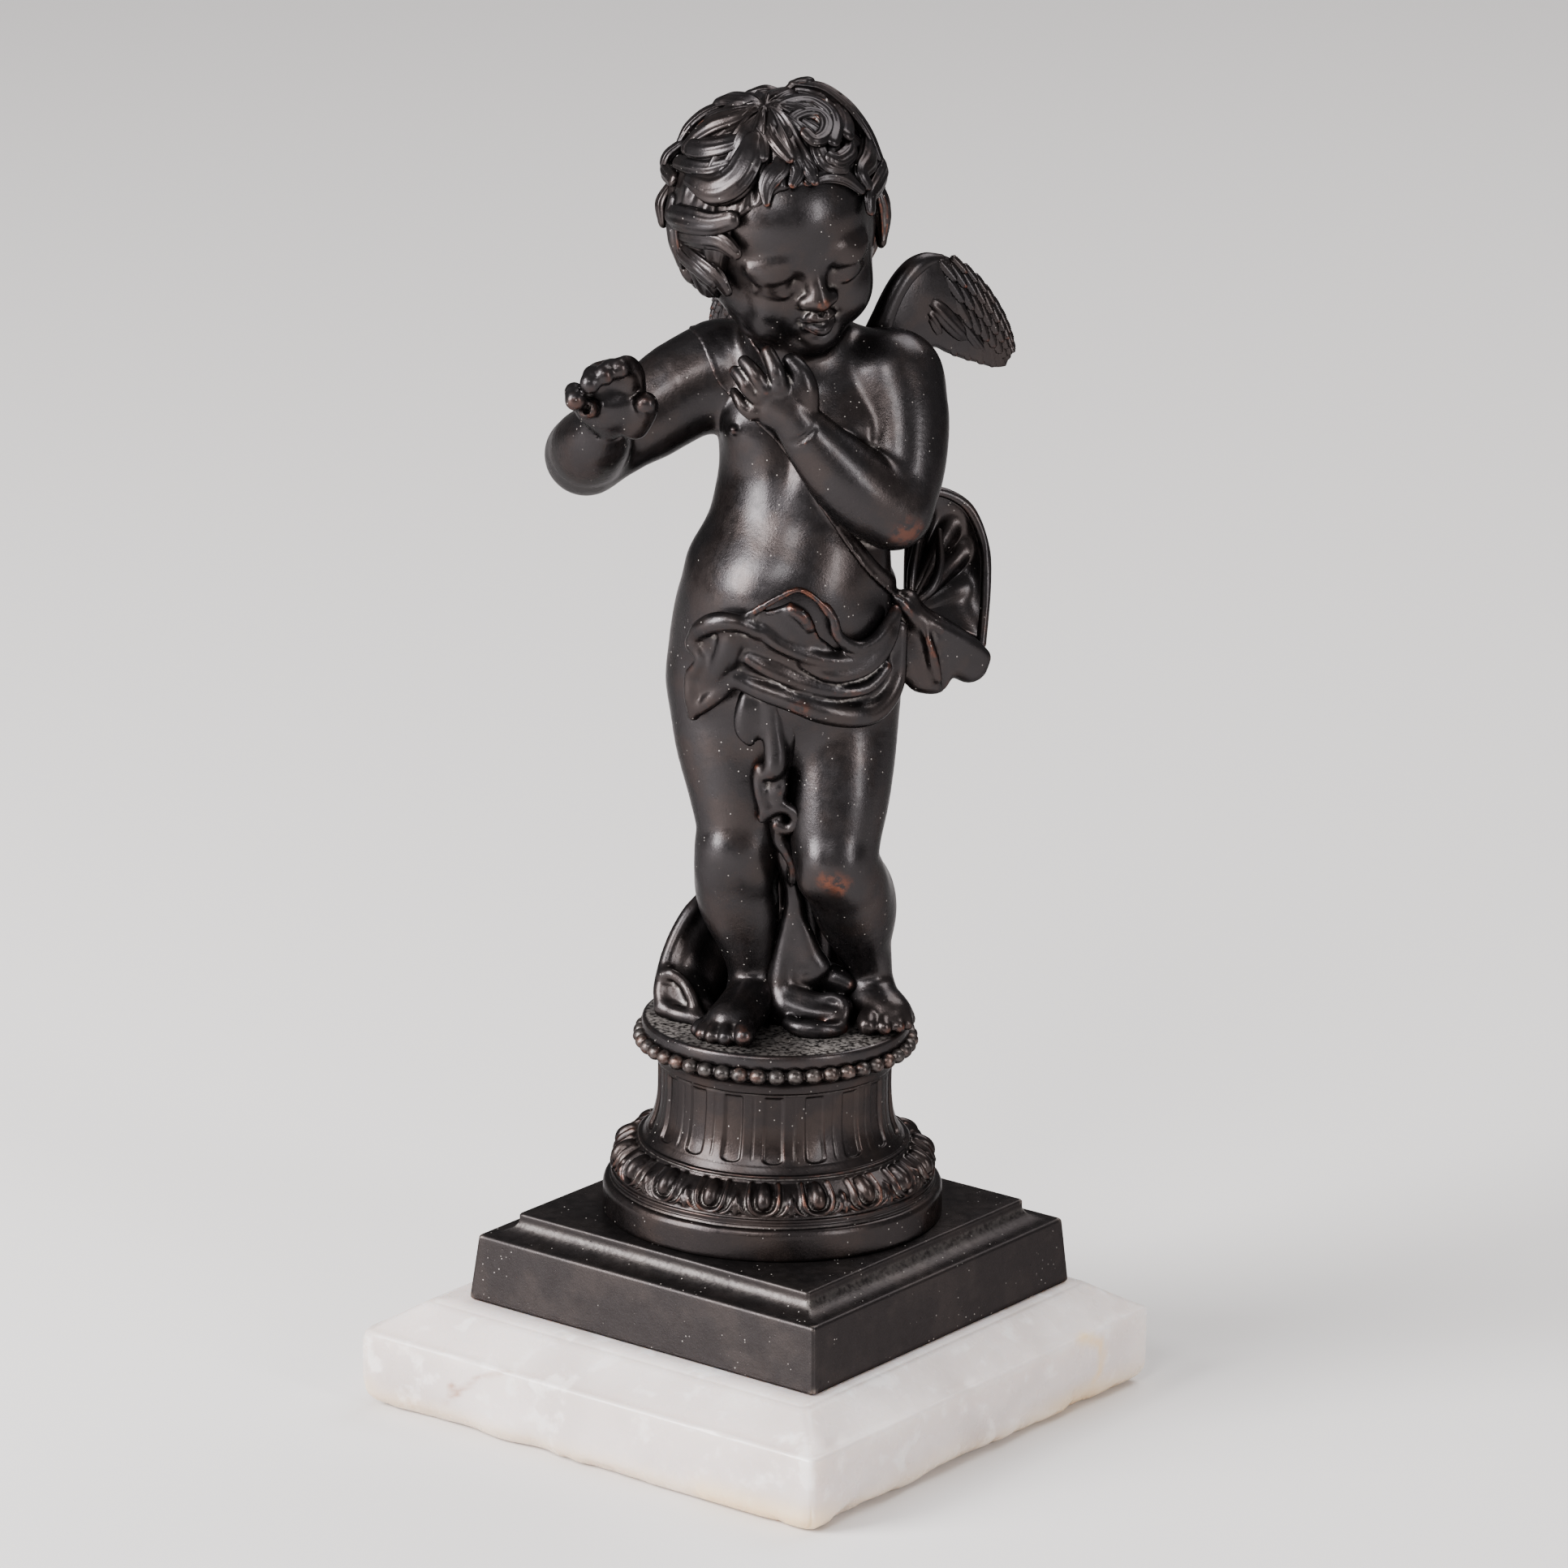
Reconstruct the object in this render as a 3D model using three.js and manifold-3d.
// A cast bronze putto with wings and drapery on a round beaded socle, a stepped square plinth
// and a white onyx slab. Millimetres, +Z up, origin in the middle of the slab's underside.
import * as THREE from "three";
import { mergeVertices } from "three/addons/utils/BufferGeometryUtils.js";
import Module from "manifold-3d";

const wasm = await Module();
wasm.setup();

// Driving sizes of the onyx slab
const slabSide = 105.7;
const slabHeight = 20.4;
const slabBevelDrop = 5.5;
const slabFootRound = 4;
const slabFlatMargin = 1.6;

// Driving sizes of the square plinth
const plinthSide = 80;
const plinthTopInset = 1.05;
const plinthStepHeight = 12.5;
const plinthHollowHeight = 2.6;
const plinthLedge = 0.8;
const plinthLedgeRise = 0.2;
const plinthUpperSide = 67.2;
const plinthUpperHeight = 1.3;
const plinthShift = [1.8, 1.4];

// Driving sizes of the round socle
const ringRadius = 31.6;
const ringHeight = 6.3;
const ringRound = 1;
const ovoloHeight = 7.4;
const ovoloInset = 1.8;
const shelfRise = 1.5;
const neckRadius = 25.2;
const drumRadius = 21.9;
const drumHeight = 16.9;
const flareHeight = 6;
const flareInset = 0.6;
const fluteDepth = 0.8;
const eggRise = 1.2;
const rimRise = 0.5;
const dartRise = 0.3;
const grooveDepth = 0.4;
const beads = 46;
const beadRadius = 1.3;
const beadInset = 1.3;
const drumNecking = 1.8;
const trayHeight = 3.4;
const lineGap = 0.2;

// Driving sizes of the figure: its height above its round ground plate, and the plate itself
const figureHeight = 175.9;
const plateInset = 0.4;
const plateThickness = 2.8;
const figureTurn = THREE.MathUtils.degToRad(36.7);
const seatGap = 0.3;

// Heights worked out from the sizes above
const plinthFoot = slabHeight + seatGap;
const plinthTop = plinthFoot + plinthStepHeight + plinthHollowHeight + plinthUpperHeight;
const socleFoot = plinthTop + seatGap;
const ovoloFoot = socleFoot + ringHeight;
const drumFoot = ovoloFoot + ovoloHeight;
const drumTop = drumFoot + drumHeight;
const socleTop = drumTop + trayHeight;
const plateFoot = socleTop + seatGap;
const figureFoot = plateFoot + plateThickness;
const plateRadius = neckRadius - plateInset;
const ovoloRadius = ringRadius - ovoloInset;

// The figure is laid out on 176 parts of its own height
const part = figureHeight / 176;

// The socle's carving repeats in bays: one egg and one flute in each
const bays = 18;
const baySteps = 6;
const roundFaces = 36;

// How far the figure's faces may leave its worked-out skin
const carvingSlack = 0.28;
const { abs, cos, exp, max, min, PI, sin } = Math;
const vec = (x, y, z) => new THREE.Vector3(x, y, z);

// A geometry as a solid body: only its places are kept, and its shared corners are joined.
function body(geometry) {
  const bare = geometry.index ? geometry.toNonIndexed() : geometry.clone();
  for (const name of Object.keys(bare.attributes)) {
    if (name !== "position") bare.deleteAttribute(name);
  }
  const joined = mergeVertices(bare, 1e-4);
  const vertProperties = new Float32Array(joined.attributes.position.array);
  const triVerts = new Uint32Array(joined.index.array);
  return new wasm.Manifold(new wasm.Mesh({ numProp: 3, vertProperties, triVerts }));
}

// A body as a geometry for a mesh.
function shape(solid) {
  const { vertProperties, triVerts } = solid.getMesh();
  const geometry = new THREE.BufferGeometry();
  geometry.setAttribute("position", new THREE.BufferAttribute(new Float32Array(vertProperties), 3));
  geometry.setIndex(new THREE.BufferAttribute(new Uint32Array(triVerts), 1));
  const flat = geometry.toNonIndexed();
  flat.computeVertexNormals();
  return flat;
}

const joinAll = (solids) => solids.reduce((all, next) => all.add(next));

// A body without the hollows that its folds close off inside it: the casting is sound there.
const sound = (solid) => joinAll(solid.decompose().filter((shell) => shell.volume() > 0));

// A face under the first area has no clear way to face, and one whose facing turns by more than
// the second, a cosine, has folded over.
const leastFace = 1e-3;
const leastTurn = 0.4;

// A body with fewer faces: an edge shrinks to a point where that keeps the skin closed, turns no
// face over and leaves the point within `slack` of every face that met there.
function thinned(solid, slack) {
  const { vertProperties, triVerts } = solid.getMesh();
  const points = Array.from({ length: vertProperties.length / 3 },
    (_, i) => vec(...vertProperties.slice(3 * i)));
  const faces = Array.from({ length: triVerts.length / 3 }, (_, i) => [...triVerts.slice(3 * i, 3 * i + 3)]);
  const around = points.map(() => new Set());
  faces.forEach((face, i) => face.forEach((v) => around[v].add(i)));
  const cross = ([a, b, c]) => b.clone().sub(a).cross(c.clone().sub(a));
  const corners = (i) => faces[i].map((v) => points[v]);
  const planes = points.map((_, v) => [...around[v]].map(corners).filter((tri) => cross(tri).length() > 1e-4)
    .map((tri) => new THREE.Plane().setFromCoplanarPoints(...tri)));
  const neighbours = (v) => new Set([...around[v]].flatMap((i) => faces[i]).filter((w) => w !== v));
  const turns = (i, moved, to) => {
    const before = cross(corners(i));
    const after = cross(faces[i].map((v) => (moved.includes(v) ? to : points[v])));
    if (after.length() < leastFace) return true;
    return before.length() > leastFace && before.normalize().dot(after.normalize()) < leastTurn;
  };
  const shrink = (a, b) => {
    const shared = [...neighbours(a)].filter((v) => neighbours(b).has(v));
    if (shared.length !== 2) return false;
    const must = [...planes[a], ...planes[b]];
    const off = (p) => max(...must.map((plane) => abs(plane.distanceToPoint(p))));
    const middle = points[a].clone().lerp(points[b], 0.5);
    const [best] = [middle, points[a], points[b]].map((p) => [off(p), p]).sort((p, q) => p[0] - q[0]);
    const touched = new Set([...around[a], ...around[b]]);
    const gone = [...around[a]].filter((i) => around[b].has(i));
    if (best[0] > slack || gone.length !== 2) return false;
    if ([...touched].some((i) => !gone.includes(i) && turns(i, [a, b], best[1]))) return false;
    points[a] = best[1].clone();
    planes[a] = must;
    for (const i of gone) faces[i].forEach((v) => around[v].delete(i));
    for (const i of around[b]) faces[i] = faces[i].map((v) => (v === b ? a : v));
    around[b].forEach((i) => around[a].add(i));
    around[b].clear();
    return true;
  };
  for (let again = true; again;) {
    const edges = [];
    around.forEach((own, a) => own.size && neighbours(a).forEach((b) => a < b && edges.push([a, b])));
    edges.sort((p, q) => points[p[0]].distanceTo(points[p[1]]) - points[q[0]].distanceTo(points[q[1]]));
    const moved = edges.filter(([a, b]) => around[a].size && around[b].size && shrink(a, b));
    again = moved.length > edges.length / 200;
  }
  const left = faces.filter((face, i) => around[face[0]].has(i));
  return body(new THREE.BufferGeometry().setFromPoints(left.flat().map((v) => points[v])));
}

// A profile of [radius, height] pairs turned about the upright.
function turned(profile, faces, start = 0) {
  const points = profile.map(([r, z]) => new THREE.Vector2(r, z));
  const lathe = new THREE.LatheGeometry(points, faces, start);
  return body(lathe.rotateX(PI / 2));
}

// A square moulding: a four-faced turning whose corners point along the diagonals.
const square = (profile) => turned(profile.map(([r, z]) => [r * Math.SQRT2, z]), 4, PI / 4);

// Points on a quarter round between two [r, z] places: it leaves the first one level, and with
// `upright` it leaves it upright instead.
function quarter([r0, z0], [r1, z1], steps, upright = false) {
  return Array.from({ length: steps + 1 }, (_, i) => {
    const a = (i / steps) * (PI / 2);
    const across = upright ? 1 - cos(a) : sin(a);
    const along = upright ? sin(a) : 1 - cos(a);
    return [r0 + (r1 - r0) * across, z0 + (z1 - z0) * along];
  });
}

// A closed skin over rings of points, each ring closed on itself, with a middle point at each end.
function skin(rings) {
  const count = rings[0].length;
  const middle = (ring) => ring.reduce((sum, p) => sum.add(p), vec(0, 0, 0)).divideScalar(count);
  const places = [...rings.flat(), middle(rings[0]), middle(rings[rings.length - 1])];
  const faces = [];
  const foot = rings.length * count;
  for (let j = 0; j < count; j++) {
    const k = (j + 1) % count;
    for (let i = 0; i + 1 < rings.length; i++) {
      const [a, b, c, d] = [i * count + j, i * count + k, (i + 1) * count + k, (i + 1) * count + j];
      faces.push(a, b, c, a, c, d);
    }
    const last = (rings.length - 1) * count;
    faces.push(foot, k, j, foot + 1, last + j, last + k);
  }
  const geometry = new THREE.BufferGeometry().setFromPoints(places).setIndex(faces);
  const solid = body(geometry);
  return solid.volume() < 0 ? body(geometry.setIndex(faces.reverse())) : solid;
}

// A hoop: rings joined one to the next and the last to the first.
function hoop(rings) {
  const count = rings[0].length;
  const faces = [];
  rings.forEach((_, i) => {
    const n = (i + 1) % rings.length;
    for (let j = 0; j < count; j++) {
      const k = (j + 1) % count;
      faces.push(i * count + j, n * count + j, n * count + k, i * count + j, n * count + k, i * count + k);
    }
  });
  const geometry = new THREE.BufferGeometry().setFromPoints(rings.flat()).setIndex(faces);
  const solid = body(geometry);
  return solid.volume() < 0 ? body(geometry.setIndex(faces.reverse())) : solid;
}

// A smooth run through stations of any count of numbers.
function smooth(stations, steps) {
  const run = [];
  const at = (i) => stations[min(max(i, 0), stations.length - 1)];
  for (let i = 0; i + 1 < stations.length; i++) {
    for (let s = 0; s < steps; s++) {
      const t = s / steps;
      const [p, q, r, u] = [at(i - 1), at(i), at(i + 1), at(i + 2)];
      run.push(q.map((v, n) => v + 0.5 * t * (r[n] - p[n] + t * (2 * p[n] - 5 * v + 4 * r[n] - u[n]
        + t * (3 * (v - r[n]) + u[n] - p[n])))));
    }
  }
  run.push(at(stations.length - 1));
  return run;
}

// The place at a share of a smooth run.
function pick(run, share) {
  const s = share * (run.length - 1);
  const low = min(Math.floor(s), run.length - 2);
  return vec(...run[low]).lerp(vec(...run[low + 1]), s - low);
}

// A round-ended tube through [x, y, z, radius] stations. `flat` thins it towards `facing`.
function tube(stations, faces = 8, steps = 2, flat = 1, facing = vec(0, 0, 1)) {
  const run = smooth(stations, steps);
  const place = (i) => vec(...run[i].slice(0, 3));
  const along = (i) => place(min(i + 1, run.length - 1)).sub(place(max(i - 1, 0))).normalize();
  let side = vec(0, 0, 0).crossVectors(along(0), facing);
  if (side.length() < 0.2) side = vec(0, 0, 0).crossVectors(along(0), vec(0, 1, 0));
  const rings = [];
  const ring = (centre, tangent, radius) => {
    side.addScaledVector(tangent, -side.dot(tangent)).normalize();
    const up = vec(0, 0, 0).crossVectors(side, tangent);
    rings.push(Array.from({ length: faces }, (_, j) => {
      const a = (2 * PI * j) / faces;
      return centre.clone().addScaledVector(side, radius * cos(a))
        .addScaledVector(up, radius * flat * sin(a));
    }));
  };
  const first = run[0][3];
  const last = run[run.length - 1][3];
  ring(place(0).addScaledVector(along(0), -0.75 * first), along(0), first * 0.55);
  run.forEach((station, i) => ring(place(i), along(i), station[3]));
  const end = run.length - 1;
  ring(place(end).addScaledVector(along(end), 0.75 * last), along(end), last * 0.55);
  return skin(rings);
}

// A turned and stretched ball. Angles are in degrees about X, Y and Z.
function egg([x, y, z], radii, angles = [0, 0, 0], faces = 10, rows = 7) {
  const ball = new THREE.SphereGeometry(1, faces, rows);
  const turn = new THREE.Euler(...angles.map(THREE.MathUtils.degToRad), "ZYX");
  const matrix = new THREE.Matrix4().compose(vec(x, y, z), new THREE.Quaternion().setFromEuler(turn),
    vec(...radii));
  return body(ball.applyMatrix4(matrix));
}

// A closed body over a sheet: `at(u, v)` gives its middle, and it is `thick` across.
function sheet(at, nu, nv, thick) {
  const normal = (u, v) => {
    const e = 0.02;
    const du = at(min(u + e, 1), v).sub(at(max(u - e, 0), v));
    const dv = at(u, min(v + e, 1)).sub(at(u, max(v - e, 0)));
    return du.cross(dv).normalize();
  };
  const rings = Array.from({ length: nu + 1 }, (_, i) => {
    const u = i / nu;
    const line = Array.from({ length: nv + 1 }, (_, j) => j / nv);
    const face = (v, way) => at(u, v).addScaledVector(normal(u, v), way * thick / 2);
    return [...line.map((v) => face(v, 1)), ...line.reverse().map((v) => face(v, -1))];
  });
  return skin(rings);
}

// The onyx slab: rounded foot, upright band, wide shallow bevel and a flat top for the plinth.
function onyxSlab() {
  const half = slabSide / 2;
  const flat = plinthSide / 2 + slabFlatMargin + max(...plinthShift);
  const foot = quarter([half - slabFootRound, 0], [half, slabFootRound], 3);
  return square([[0, 0], ...foot, [half, slabHeight - slabBevelDrop], [flat, slabHeight],
    [0, slabHeight]]);
}

// The plinth: a low block with leaning sides, a hollow moulding and a thin upper step.
function squarePlinth() {
  const half = plinthSide / 2;
  const step = plinthFoot + plinthStepHeight;
  const upper = plinthUpperSide / 2;
  const hollow = quarter([half - plinthTopInset - plinthLedge, step + plinthLedgeRise],
    [upper, step + plinthHollowHeight], 3);
  return square([[0, plinthFoot], [half, plinthFoot], [half - plinthTopInset, step], ...hollow,
    [upper, plinthTop], [0, plinthTop]]);
}

// A profile turned in `count` bays of `steps` columns, each point moved off the surface by its
// carving: `carve` takes the place across a bay, from -0.5 to 0.5, and the share along its stretch.
function carvedTurning(stretches, count, steps) {
  const columns = count * steps;
  const points = stretches.flatMap(({ profile, carve = () => 0 }) => profile.map(([r, z], i) => {
    const [low, high] = [profile[max(i - 1, 0)], profile[min(i + 1, profile.length - 1)]];
    const length = Math.hypot(high[0] - low[0], high[1] - low[1]) || 1;
    const normal = [(high[1] - low[1]) / length, (low[0] - high[0]) / length];
    return { r, z, normal, carve, share: i / max(profile.length - 1, 1) };
  }));
  return skin(points.map(({ r, z, normal, carve, share }) => Array.from({ length: columns }, (_, j) => {
    const a = (2 * PI * j) / columns;
    const out = carve(((j + steps / 2) % steps) / steps - 0.5, share);
    return vec((r + normal[0] * out) * cos(a), (r + normal[0] * out) * sin(a), z + normal[1] * out);
  })));
}

// Egg and dart: the egg in the middle, a groove, the rim that closes under it, and the dart.
function eggAndDart(across, share) {
  if (share === 0 || share === 1) return 0;
  const t = abs(across);
  if (share < 0.3) return t < 0.4 ? rimRise : 0;
  if (t < 0.1) return eggRise * sin(PI * min(share * 1.1, 1));
  if (t < 0.25) return -grooveDepth;
  return t < 0.4 ? rimRise : dartRise;
}

// Flutes: three steps of a bay sink by the flute's depth, away from the ends of the stretch.
const flute = (across, share) => (abs(across) < 0.25 && share > 0.2 && share < 0.9 ? -fluteDepth : 0);

// The tray on top of the drum: a short neck, the string of beads and the seat of the ground plate.
function beadedTray() {
  const beadFoot = socleTop - 2 * beadRadius;
  const reach = neckRadius + beadRadius - beadInset;
  const beadRow = [[-0.5, 0.2], [0, 1], [-0.5, 1.8]].map(([out, up]) => (
    [reach + out, beadFoot + beadRadius * up]));
  return carvedTurning([
    { profile: [[drumRadius - beadRadius, drumTop - drumNecking], [reach - beadRadius, beadFoot]] },
    { profile: beadRow, carve: (across) => (across === 0 ? beadRadius : -lineGap) },
    { profile: [[plateRadius - plateInset, socleTop]] },
  ], beads, 2);
}

// The socle: ring, egg-and-dart moulding, fluted drum that flares at its foot, and a beaded tray.
function roundSocle() {
  const ring = [[ringRadius, socleFoot], [ringRadius, ovoloFoot - ringRound],
    [ringRadius - ringRound, ovoloFoot]];
  const ovolo = quarter([neckRadius, drumFoot], [ovoloRadius, ovoloFoot + shelfRise], 3).reverse();
  const flareTop = drumFoot + flareHeight;
  const flareFoot = [neckRadius - flareInset, drumFoot + 2 * lineGap];
  const flare = quarter([drumRadius + lineGap, flareTop], flareFoot, 2, true).reverse();
  const fluted = [[drumRadius + lineGap, flareTop + lineGap], [drumRadius, drumTop - drumNecking]];
  const body = carvedTurning([
    { profile: ring },
    { profile: ovolo, carve: eggAndDart },
    { profile: [...flare, ...fluted], carve: flute },
    { profile: [[drumRadius + drumNecking / 2, drumTop]] },
  ], bays, baySteps);
  return body.add(beadedTray());
}

// The trunk's sections from the hips up: [height, middle x, middle y, half width, half depth].
const trunk = [
  [56, -0.5, 1.5, 20, 13.5],
  [62, -0.5, 1, 21, 15.5],
  [70, -0.3, 0, 21.2, 16.2],
  [80, 1, -1.5, 19, 16],
  [88, 2.6, -2, 16.6, 15.4],
  [95, 3.6, -1.2, 15.6, 14.2],
  [104, 4.4, 0, 16.8, 13.4],
  [114, 4.8, 1.5, 18.2, 13],
  [121, 4, 2.5, 15.5, 11.2],
  [127, 2.6, 3, 10, 9.5],
  [132, 1.2, 1.6, 7.6, 7.6],
];
const trunkTurn = THREE.MathUtils.degToRad(-20);

// Swells and hollows of the trunk: [angle, height, spread in degrees, spread in height, rise].
const swells = [
  [5, 82, 45, 11, 2.2],
  [-30, 113, 22, 6, 2.4],
  [30, 113, 22, 6, 2.4],
  [0, 112, 9, 9, -1],
  [-30, 113, 5, 1.6, 0.5],
  [150, 66, 28, 10, 3.2],
  [210, 66, 28, 10, 3.2],
  [180, 96, 11, 22, -1.4],
  [0, 79, 7, 2.4, -1],
];

// How far apart two angles lie, in degrees.
const apart = (a, b) => abs(((a - b + 540) % 360) - 180);

// The sum of rounded bumps at an angle and a height.
const relief = (bumps, a, z) => bumps.reduce((sum, [angle, height, wide, tall, rise]) => (
  sum + rise * exp(-((apart(a + 360, angle) / wide) ** 2) - ((z - height) / tall) ** 2)), 0);

// The trunk's section at a height.
function section(z) {
  const last = trunk.length - 1;
  let i = trunk.findIndex((row) => row[0] > z) - 1;
  if (i < 0) i = z <= trunk[0][0] ? 0 : last - 1;
  const [low, high] = [trunk[i], trunk[i + 1]];
  const t = min(max((z - low[0]) / (high[0] - low[0]), 0), 1);
  return low.map((v, n) => v + (high[n] - v) * t);
}

// A point on the trunk at an angle round it: 0 is its front, 90 its own left side.
function onTrunk(angle, z, out = 0) {
  const [, cx, cy, rx, ry] = section(z);
  const a = THREE.MathUtils.degToRad(angle);
  const rise = out + relief(swells, angle, z);
  const [x, y] = [(rx + rise) * sin(a), -(ry + rise) * cos(a)];
  return vec(cx + x * cos(trunkTurn) - y * sin(trunkTurn), cy + x * sin(trunkTurn) + y * cos(trunkTurn), z);
}

// The trunk with its neck and the bridge of its shoulders.
function trunkBody() {
  const around = Array.from({ length: 16 }, (_, j) => j * 22.5);
  return [
    skin(trunk.map(([z]) => around.map((angle) => onTrunk(angle, z)))),
    tube([[2.5, 3, 118, 11], [0, -3, 133, 8.8]], 8, 1),
    tube([[-13, 6, 120.5, 8.6], [3, 5, 121, 9.4], [19, 0, 121, 9]], 8, 1),
    egg([3.4, 8.4, 117], [14, 7, 12], [0, 0, -20], 10, 7),
  ];
}

// Limbs as runs of [x, y, z, radius].
const limbs = {
  rightUpperArm: [[-12, 6, 120.5, 9], [-20, 4, 116.5, 8.2], [-28, 1, 111, 7.3], [-36, -2, 106.6, 7.2]],
  rightForearm: [[-36.6, -2.5, 106.4, 7.3], [-34.8, -10, 110.5, 6.8], [-32.6, -17, 115.2, 5.4],
    [-31.6, -20.5, 118.2, 4.4]],
  leftUpperArm: [[18.5, -1, 121.5, 9], [20.6, -5, 114, 8.3], [20.8, -10, 106, 7.4], [19.2, -14, 100.8, 7.1]],
  leftForearm: [[18.9, -14.5, 100.4, 7.2], [12.5, -17.5, 105.5, 6.9], [6, -19.6, 112.4, 5.9],
    [0.8, -21, 119.4, 4.5]],
  rightLeg: [[-9, 2, 62, 12.8], [-8.4, 0, 52, 11.4], [-7, -2.5, 42, 9.1], [-7.7, -4.5, 34, 8.1],
    [-7.5, -2.4, 26.5, 7.6], [-5.9, -1, 18, 6.4], [-4.5, -0.6, 10, 4.9], [-4, -0.4, 5, 4.8]],
  leftLeg: [[9.6, 0, 62, 12], [10.2, -4, 52, 10.6], [10.4, -8, 42, 9], [10.4, -10.5, 33.5, 7.9],
    [13, -6.4, 25.5, 7.6], [14.6, -2.4, 18, 6.4], [16.6, 0.6, 11, 4.6], [17.2, 1.5, 5.5, 4.6]],
  rightFoot: [[-3.6, 3.2, 3, 4], [-4.8, -4, 4.4, 5], [-7.2, -11, 2.8, 5.4], [-8, -14.5, 2.1, 5.2]],
  leftFoot: [[15.6, 5, 3, 4], [17.4, 0, 4.2, 4.8], [19.8, -4.4, 2.8, 5.2], [20.4, -6, 2.2, 5]],
};

// Fingers: from the root to the tip, with the radius at each.
const fingers = [
  [[-27.6, -23.4, 122.6, 2.2], [-27.4, -26, 128, 1.9], [-29.8, -29.6, 129.4, 1.7]],
  [[-30.6, -23.6, 123.6, 2.1], [-31, -27, 128.6, 1.9], [-32.4, -30.8, 128.6, 1.7]],
  [[-33.4, -23.6, 123, 2.1], [-34.4, -27.4, 127.4, 1.9], [-35, -31.4, 127.2, 1.7]],
  [[-35.8, -23.4, 120.6, 2], [-37.8, -27.6, 124.2, 1.8], [-37.6, -31, 124, 1.7]],
  [[-27.4, -22.4, 117.6, 3], [-25.4, -25.6, 120.8, 2.3], [-25.3, -27.6, 122.5, 2.1]],
  [[-1.6, -23.2, 125.2, 1.6], [-2.4, -23.6, 128, 1.4], [-3.8, -21.4, 130.6, 1.1]],
  [[-4.2, -23, 124.4, 1.6], [-5.8, -23.2, 127, 1.4], [-7.9, -21, 128.9, 1.1]],
  [[-6, -22.4, 123, 1.5], [-7.9, -22.4, 125.4, 1.3], [-9.5, -20.2, 126.9, 1]],
  [[-6.4, -21.8, 119.6, 1.5], [-8.4, -21.6, 121.4, 1.3], [-9.6, -19.8, 122.9, 1]],
  [[3, -21.4, 121, 2.4], [2.2, -21.9, 126.6, 2.1], [-0.6, -20.6, 130, 1.6]],
];

// Toes: middle, radii and the way each points.
const toes = [
  [[-5.6, -17, 2, [2.2, 3.6, 2.1], -12]], [[-8.7, -17.2, 1.9, [1.5, 3.2, 1.6], -18]],
  [[-10.9, -16, 1.8, [1.4, 3, 1.5], -24]], [[-12.6, -14.6, 1.7, [1.3, 2.6, 1.4], -32]],
  [[-13.7, -12.2, 1.6, [1.3, 2.4, 1.3], -42]], [[16.9, -8.8, 2, [2.1, 3.4, 2], 4]],
  [[19.7, -9.4, 1.9, [1.5, 3, 1.6], 12]], [[22, -8.2, 1.8, [1.4, 2.8, 1.5], 20]],
  [[23.2, -6.2, 1.7, [1.3, 2.5, 1.4], 28]], [[23.6, -4, 1.6, [1.3, 2.3, 1.3], 40]],
].flat();

// Both hands' palms, and the stump of the thing that the right hand once held.
const palms = () => [
  egg([-31.6, -23.4, 121], [6, 4.2, 5.2], [20, 0, 0], 8, 6),
  egg([-1.4, -21.8, 121.8], [5, 3, 4.8], [0, -30, 0], 8, 6),
  tube([[-34.4, -23, 120.8, 1.8], [-35.5, -30, 121.9, 1.9]], 8, 1),
];

// The head's own frame: face towards -Y, turned, nodding and leaning.
const headCentre = vec(-2.6, -1, 151.6);
const headTurn = new THREE.Euler(...[15, -12, 18].map(THREE.MathUtils.degToRad), "ZYX");
const headPlace = new THREE.Matrix4().makeRotationFromEuler(headTurn).setPosition(headCentre);
const skull = [17.6, 18.8, 19.8];

// A point over the skull: turn 0 is the face, 90 the head's own left; `up` in degrees.
function onSkull(turn, up, out) {
  const [a, e] = [turn, up].map(THREE.MathUtils.degToRad);
  const [wide, deep, tall] = skull.map((radius) => radius + out);
  return vec(wide * sin(a) * cos(e), -deep * cos(a) * cos(e), tall * sin(e));
}

// The curls stand in rings round the crown, each [turn, up, spread, spread, rise].
const curlRings = [[1, 84, 0, 0], [5, 60, 10, 0], [8, 36, 0, 0], [9, 12, 12, 50], [7, -14, 6, 76]];
const curls = curlRings.flatMap(([count, up, turn, open]) => Array.from({ length: count }, (_, i) => {
  const way = open + ((360 - 2 * open) * (i + 0.5)) / count + turn;
  return [way, up + 4 * sin(i * 2.4), 11 / max(cos(THREE.MathUtils.degToRad(up)), 0.45), 9, 3.4];
}));

// How far the hair stands off the skull: nowhere on the face or under the nape.
function hairRise(turn, up) {
  const away = max((apart(turn + 360, 0) - 58) / 10, (up - 26) / 9);
  const cover = min(max(away, 0), 1) * min(max((up + 34) / 8, 0), 1);
  return -3 + cover * (4.6 + relief(curls, turn, up));
}

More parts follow.
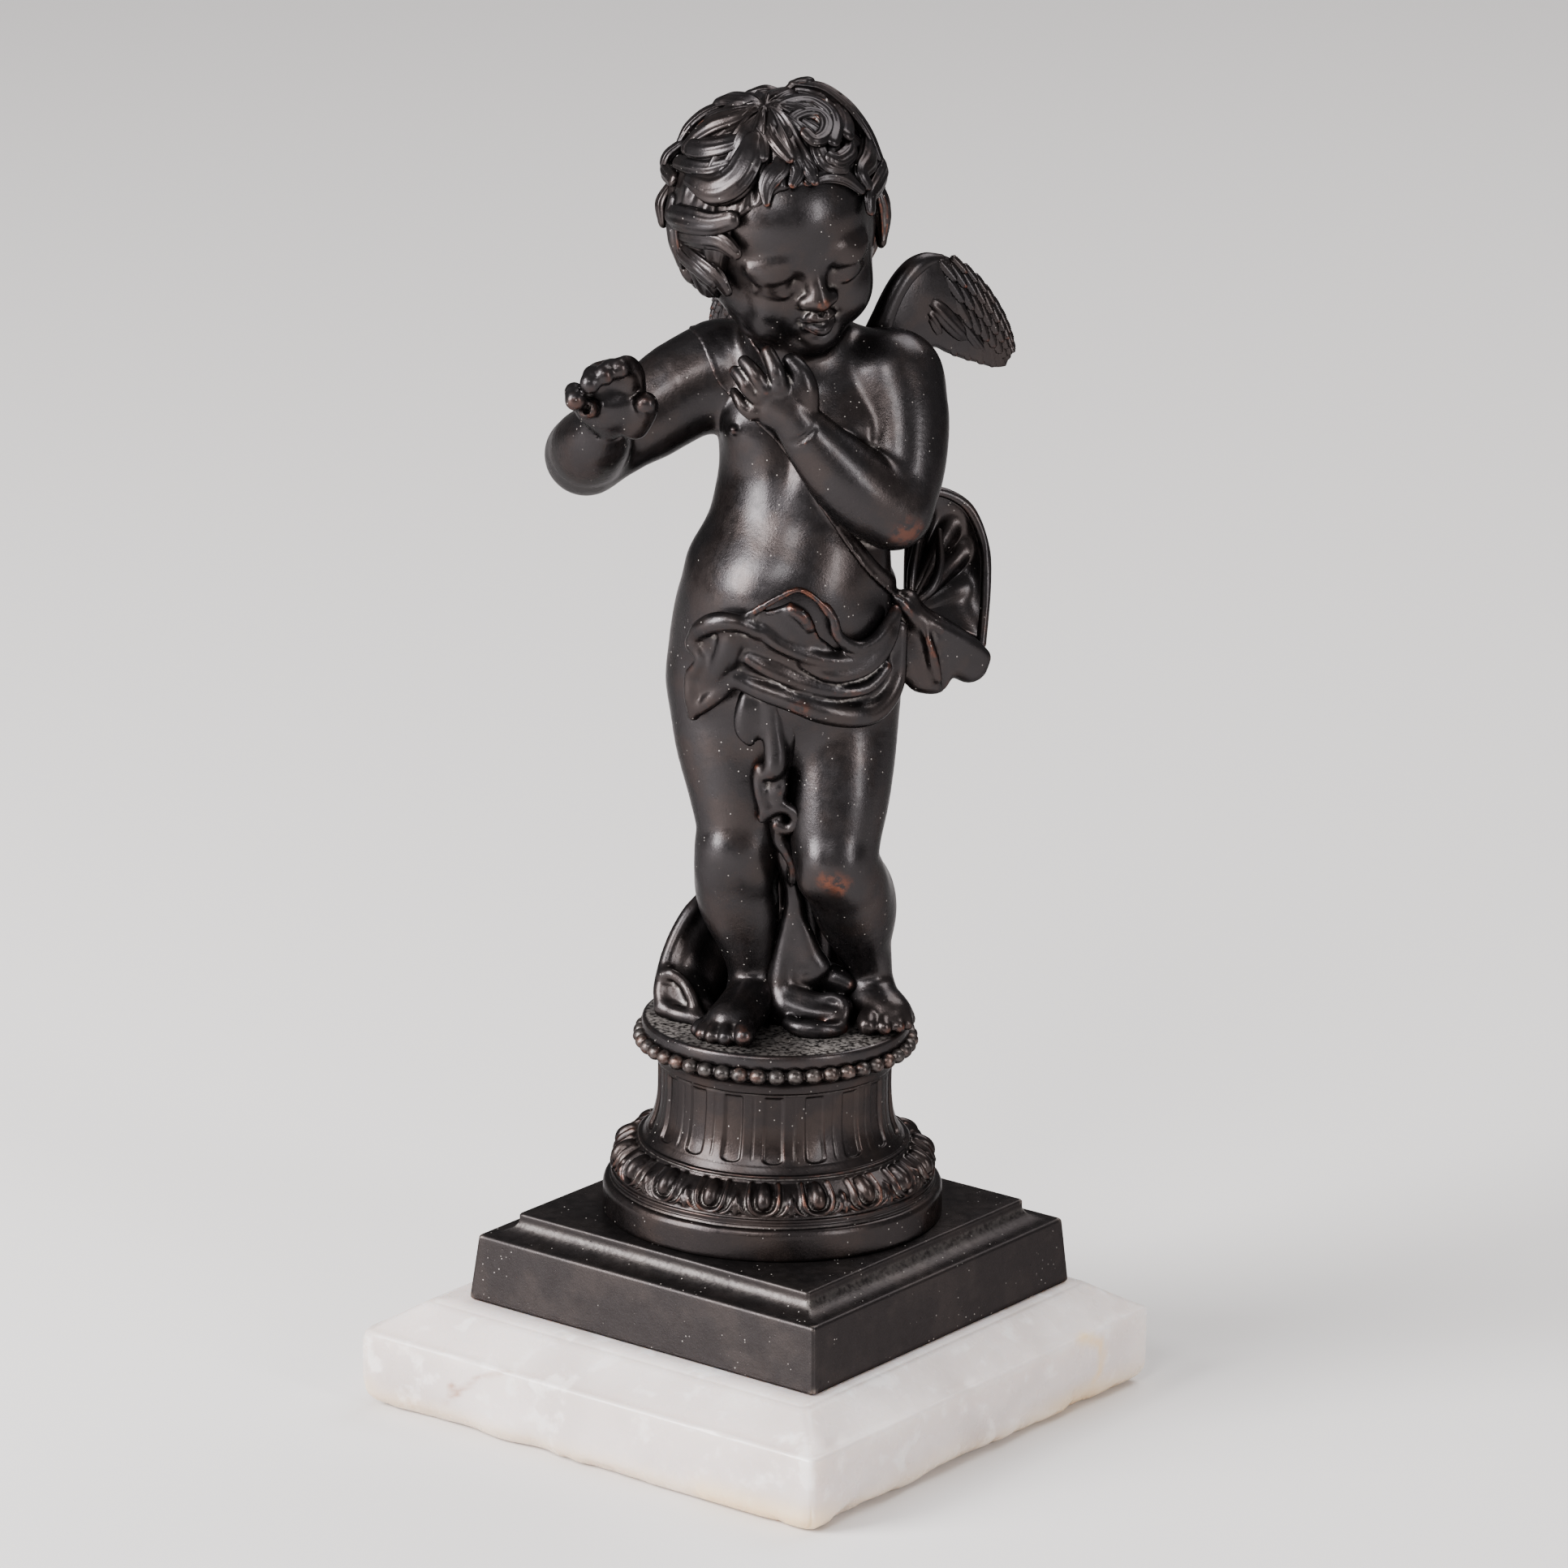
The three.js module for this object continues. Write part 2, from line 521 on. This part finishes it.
// The head with its face, ears and hair, in the head's own frame.
function headBody() {
  const around = Array.from({ length: 30 }, (_, j) => (j * 360) / 30);
  const rows = Array.from({ length: 14 }, (_, i) => -60 + i * 11);
  const pieces = [
    skin(rows.map((up) => around.map((turn) => onSkull(turn, up, hairRise(turn, up))))),
    egg([0, 0, 0], skull, [0, 0, 0], 12, 8),
    egg([0, -4.6, -8], [13.2, 13, 13], [0, 0, 0], 12, 8),
    egg([0, -6.8, -12.8], [10.8, 10.6, 8.6], [0, 0, 0], 10, 7),
    egg([-6.8, -10.6, -10.8], [6.2, 6.9, 6.8], [0, 0, 0], 9, 7),
    egg([6.8, -10.6, -10.8], [6.2, 6.9, 6.8], [0, 0, 0], 9, 7),
    egg([0, -14.4, -17.5], [4.6, 3.8, 3.4], [0, 0, 0], 6, 5),
    tube([[0, -17.6, -2.4, 1.5], [0, -19.4, -7.2, 2.2]], 4, 1),
    egg([0, -18.4, -11.2], [3.6, 1.8, 1.1], [0, 0, 0], 6, 4),
    egg([0, -18.2, -13.8], [3, 1.8, 1.2], [0, 0, 0], 6, 4),
    egg([-6.2, -16, 0], [5, 2, 1.5], [0, 0, -16], 6, 4),
    egg([6.2, -16, 0], [5, 2, 1.5], [0, 0, 16], 6, 4),
    egg([-17.4, 0.6, -5.6], [1.8, 3.2, 4.6], [10, 0, 14], 6, 5),
    egg([17.4, 0.6, -5.6], [1.8, 3.2, 4.6], [10, 0, -14], 6, 5),
  ];
  return pieces.map((piece) => piece.transform(headPlace.elements));
}

// The cloth round the hips: its two edges rise and fall with the angle, as rows of [angle, height],
// and its folds hang in swags from the knot at the left hip.
const wave = (degrees) => cos(THREE.MathUtils.degToRad(degrees));
const wrapTopLine = [[-180, 77], [-120, 76], [-35, 72.4], [-18, 78.8], [4, 82.4], [18, 84.6], [33, 78],
  [57, 74], [72, 75], [106, 81], [140, 79], [180, 77]];
const bareHip = [-112, -36];
const bareHipDepth = -3;
const wrapFootLine = [[-180, 60], [-120, 60], [-60, 62], [-31, 63], [-10, 66.5], [23, 64.2], [43, 61.4],
  [56, 60], [99, 66], [140, 61], [180, 60]];
function heightAt(line, angle) {
  const next = max(line.findIndex(([at]) => at >= angle), 1);
  const [[a, low], [b, high]] = line.slice(next - 1, next + 1);
  return low + ((high - low) * (angle - a)) / (b - a);
}

function hipWrap() {
  const around = 26;
  const rows = 6;
  const ring = (i) => {
    const a = (360 * i) / around - 180;
    const [low, high] = [wrapFootLine, wrapTopLine].map((line) => heightAt(line, a));
    const face = Array.from({ length: rows }, (_, j) => {
      const share = j / (rows - 1);
      const fold = 0.9 * wave(360 * (2 * share + 0.25 * wave(a - 90)));
      const bare = a > bareHip[0] && a < bareHip[1];
      return onTrunk(a, low + (high - low) * share, bare ? bareHipDepth : 1.9 - 0.8 * share + fold);
    });
    return [onTrunk(a, low, -5), ...face, onTrunk(a, high, -5)];
  };
  return hoop(Array.from({ length: around }, (_, i) => ring(i)));
}

// Loose ends, the cascade between the legs and the cloth heaped on the ground, as runs.
const folds = [
  [[-14.8, -12.5, 75, 1.6], [-16.4, -13, 71, 1.8], [-15.4, -14, 66, 1.9], [-16.9, -14, 60.6, 0.9]],
  [[-12.6, -15, 70, 2.4], [-9, -16.4, 66.4, 2.2], [-4, -15.8, 61.6, 1.6]],
  [[-1, -14, 65, 4], [-2.4, -13, 57.5, 3], [-0.6, -12, 52.5, 2.4]],
  [[-3, -13, 54, 2.2], [1.2, -12.2, 50.4, 2], [1.4, -11.2, 44.6, 2.2]],
  [[1.4, -11.4, 48.6, 1.8], [-1, -11.4, 42.5, 2], [0.8, -11.4, 38.4, 2]],
  [[-1.2, -9, 40, 2], [0.6, -7.6, 33, 2.1], [3.4, -5.6, 25.4, 2], [1.8, -3, 12, 2.6], [2.6, -4, 2, 3]],
  [[-4, 6, 60, 4], [-2.6, 5, 40, 3.4], [-3, 8, 18, 4.4], [-5, 10, 3, 5]],
  [[2, 8, 60, 4.4], [2, 6.4, 40, 3.8], [2.6, 9, 18, 4.8], [2, 12, 3, 5.4]],
  [[8, 7, 58, 4], [6.4, 5.4, 40, 3.4], [8, 8.4, 18, 4.4], [9, 11, 3, 5]],
  [[-12.2, 9.4, 22.4, 1.5], [-16.2, 6.3, 17.4, 1.9], [-19.7, 3, 10.8, 1.9], [-20.8, -1.6, 2.4, 1.9]],
  [[-12.4, 7.6, 18, 4.2], [-14.6, 6.4, 10, 5.8], [-15.6, 4.6, 2.4, 6.2]],
  [[-18, 2.6, 6, 3.6], [-17, -2, 2, 3.6], [-14, -5.4, 0.8, 1.8]],
  [[-12, 10, 12, 6], [-3, 12.5, 8, 6.5], [8, 11.5, 6, 6], [15, 8, 3, 4.5]],
  [[1.4, -3, 9.5, 2.4], [5.4, -5.4, 5.6, 2.3], [11, -3.4, 5.4, 2.1]],
  [[1.6, -8.4, 1.2, 2.2], [8, -10.6, 0.9, 3], [13, -8, 0.8, 2.4]],
];

// The strap from the right shoulder across the chest to the knot, and on round the back.
const strap = [
  [[-12.8, 9, 128.2, 2.4], [-13, 1, 130, 2.8], [-11.6, -7, 126.4, 2.8], [-8.4, -12.6, 119.6, 2.4],
    [-3.4, -15, 112.4, 1.7], [4.5, -15.8, 103.1, 1.4], [12, -14.2, 94.2, 1.3], [18.5, -9.8, 85.6, 1.3],
    [22.6, -4, 80.1, 1.6]],
  [[-12.8, 9, 128.2, 2.6], [-6, 16, 118, 2.3], [4, 17.4, 104, 2], [15, 13, 90, 1.8], [22.6, 2, 80, 1.8]],
];

// Cloth that blows out behind the left hip: a fan of folds from the knot to an open arc.
const knot = [22.4, -3, 79.4];
const fanStart = vec(22, 0.4, 81.6);
const fanEnd = vec(25.2, 1, 76.2);
const fanArc = [[22.4, 5, 95.6], [27, 8.4, 98.2], [33, 9.8, 95.2], [36.2, 9.2, 88.7], [36.8, 8, 82.4],
  [36.6, 6.4, 76], [36.2, 5, 70.6]];
function flyingCloth() {
  const arc = smooth(fanArc, 4);
  const fan = sheet((u, v) => {
    const rim = pick(arc, u);
    const ridges = 1.4 * sin(v * PI * 0.8) * sin(u * 3 * 2 * PI);
    return fanStart.clone().lerp(fanEnd, u).lerp(rim, v).add(vec(0, ridges + 3.2 * sin(PI * v), 0));
  }, 16, 4, 2);
  const lobes = [
    [[22.4, -3.4, 79, 1.8], [22.8, -3, 74, 3], [24.6, -2.6, 67, 3.5]],
    [[23, -3.4, 79, 1.8], [24.8, -3, 74.6, 2.8], [27.2, -2.4, 66.8, 3.5]],
    [[23.4, -3.4, 79, 2], [28, -1.8, 74.4, 3.4], [33.6, 1, 68.3, 4.2]],
  ];
  return [fan, egg(knot, [2.8, 3.2, 3.2], [0, 0, 0], 6, 5), ...lobes.map((run) => tube(run, 6, 1))];
}

// One wing: a thick leading edge, and feathers that fan from it to the trailing edge.
const wingLead = [[15, 8, 127], [16.4, 8, 131.2], [18.5, 9, 136.4], [23.9, 12.4, 141.6], [28.6, 15.6, 140.3],
  [33.5, 19, 135.8], [38, 22.4, 129], [40.2, 25, 121.6]];
const wingTrail = [[13, 10, 119], [16, 10, 120], [19, 10.6, 121.5], [25.9, 14, 124], [28.4, 16, 122.6],
  [32, 18.6, 120.8], [36, 22, 118.9], [39.4, 24.8, 118.3]];
const leadRadii = [2.5, 2.4, 2.2, 2, 1.7, 1.3, 1.1, 1];
const feathers = 7;
const spine = vec(9, 14, 0);
const backWay = vec(0.242, 0.97, 0);

// The right wing's places: the left one's, mirrored across the upright plane through the spine.
function acrossSpine(p) {
  const from = p.clone().sub(spine).setZ(0);
  return backWay.clone().multiplyScalar(2 * from.dot(backWay)).sub(from).add(spine).setZ(p.z);
}

function wing(mirror) {
  const place = (p) => (mirror ? acrossSpine(p) : p);
  const [lead, trail] = [wingLead, wingTrail].map((list) => smooth(list, 4));
  const vane = sheet((u, v) => {
    const p = pick(lead, u).lerp(pick(trail, u), v);
    return place(p.add(vec(0, -0.9 * abs(sin(u * feathers * PI)) * v * (1 - u / 2), 0)));
  }, 2 * feathers, 3, 2.2);
  const edge = wingLead.map((p, i) => {
    const inward = vec(...wingTrail[i]).sub(vec(...p)).setLength(leadRadii[i]);
    return [...place(inward.add(vec(...p))).toArray(), leadRadii[i]];
  });
  const tuft = [[24, 12, 133], [27.6, 13.4, 130.4], [31.8, 17.4, 125]].map((p, i) => (
    [...place(vec(...p)).toArray(), 1.5 + 0.4 * i * (2 - i)]));
  return [vane, tube(edge, 5, 1), tube(tuft, 4, 1)];
}

// The ground plate that is cast in one with the feet.
const plate = () => turned([[0, -plateThickness / part], [plateRadius / part, -plateThickness / part],
  [plateRadius / part, -0.5], [plateRadius / part - 0.5, 0], [0, 0]], roundFaces);

// The whole casting, in its own frame.
function figure() {
  const pieces = [
    ...trunkBody(),
    ...Object.values(limbs).map((run) => tube(run, 8, 1)),
    ...toes.map(([x, y, z, radii, way]) => egg([x, y, z], radii, [0, 0, way], 5, 4)),
    ...fingers.map((run) => tube(run, 4, 1)),
    ...palms(),
    ...headBody(),
    hipWrap(),
    ...folds.map((run) => tube(run, 5, 1)),
    ...strap.map((run) => tube(run, 4, 1, 0.5, vec(0, 1, 0.3))),
    ...flyingCloth(),
    ...wing(false),
    ...wing(true),
    plate(),
  ];
  const below = new THREE.BoxGeometry(4 * plateRadius, 4 * plateRadius, plateThickness);
  below.translate(0, 0, -plateThickness * 1.5 / part);
  return thinned(sound(joinAll(pieces).subtract(body(below))), carvingSlack);
}

// A named mesh in its own finish.
function mesh(name, solid, color, roughness, metalness) {
  const made = new THREE.Mesh(shape(solid), new THREE.MeshStandardMaterial({ color, roughness, metalness }));
  made.name = name;
  return made;
}

const bronze = [0x1d1714, 0.38, 0.6];
const duller = [0x24201d, 0.6, 0.5];
const onyx = [0xe6dfda, 0.35, 0];

const statue = new THREE.Group();
statue.add(mesh("onyx_slab", onyxSlab(), ...onyx));
const casting = new THREE.Group();
casting.position.set(...plinthShift, 0);
casting.add(mesh("square_plinth", squarePlinth(), ...duller));
casting.add(mesh("round_socle", roundSocle(), ...bronze));
const putto = mesh("putto_figure", figure(), ...bronze);
putto.scale.setScalar(part);
putto.position.z = figureFoot;
putto.rotation.z = figureTurn;
casting.add(putto);
statue.add(casting);

export default statue;
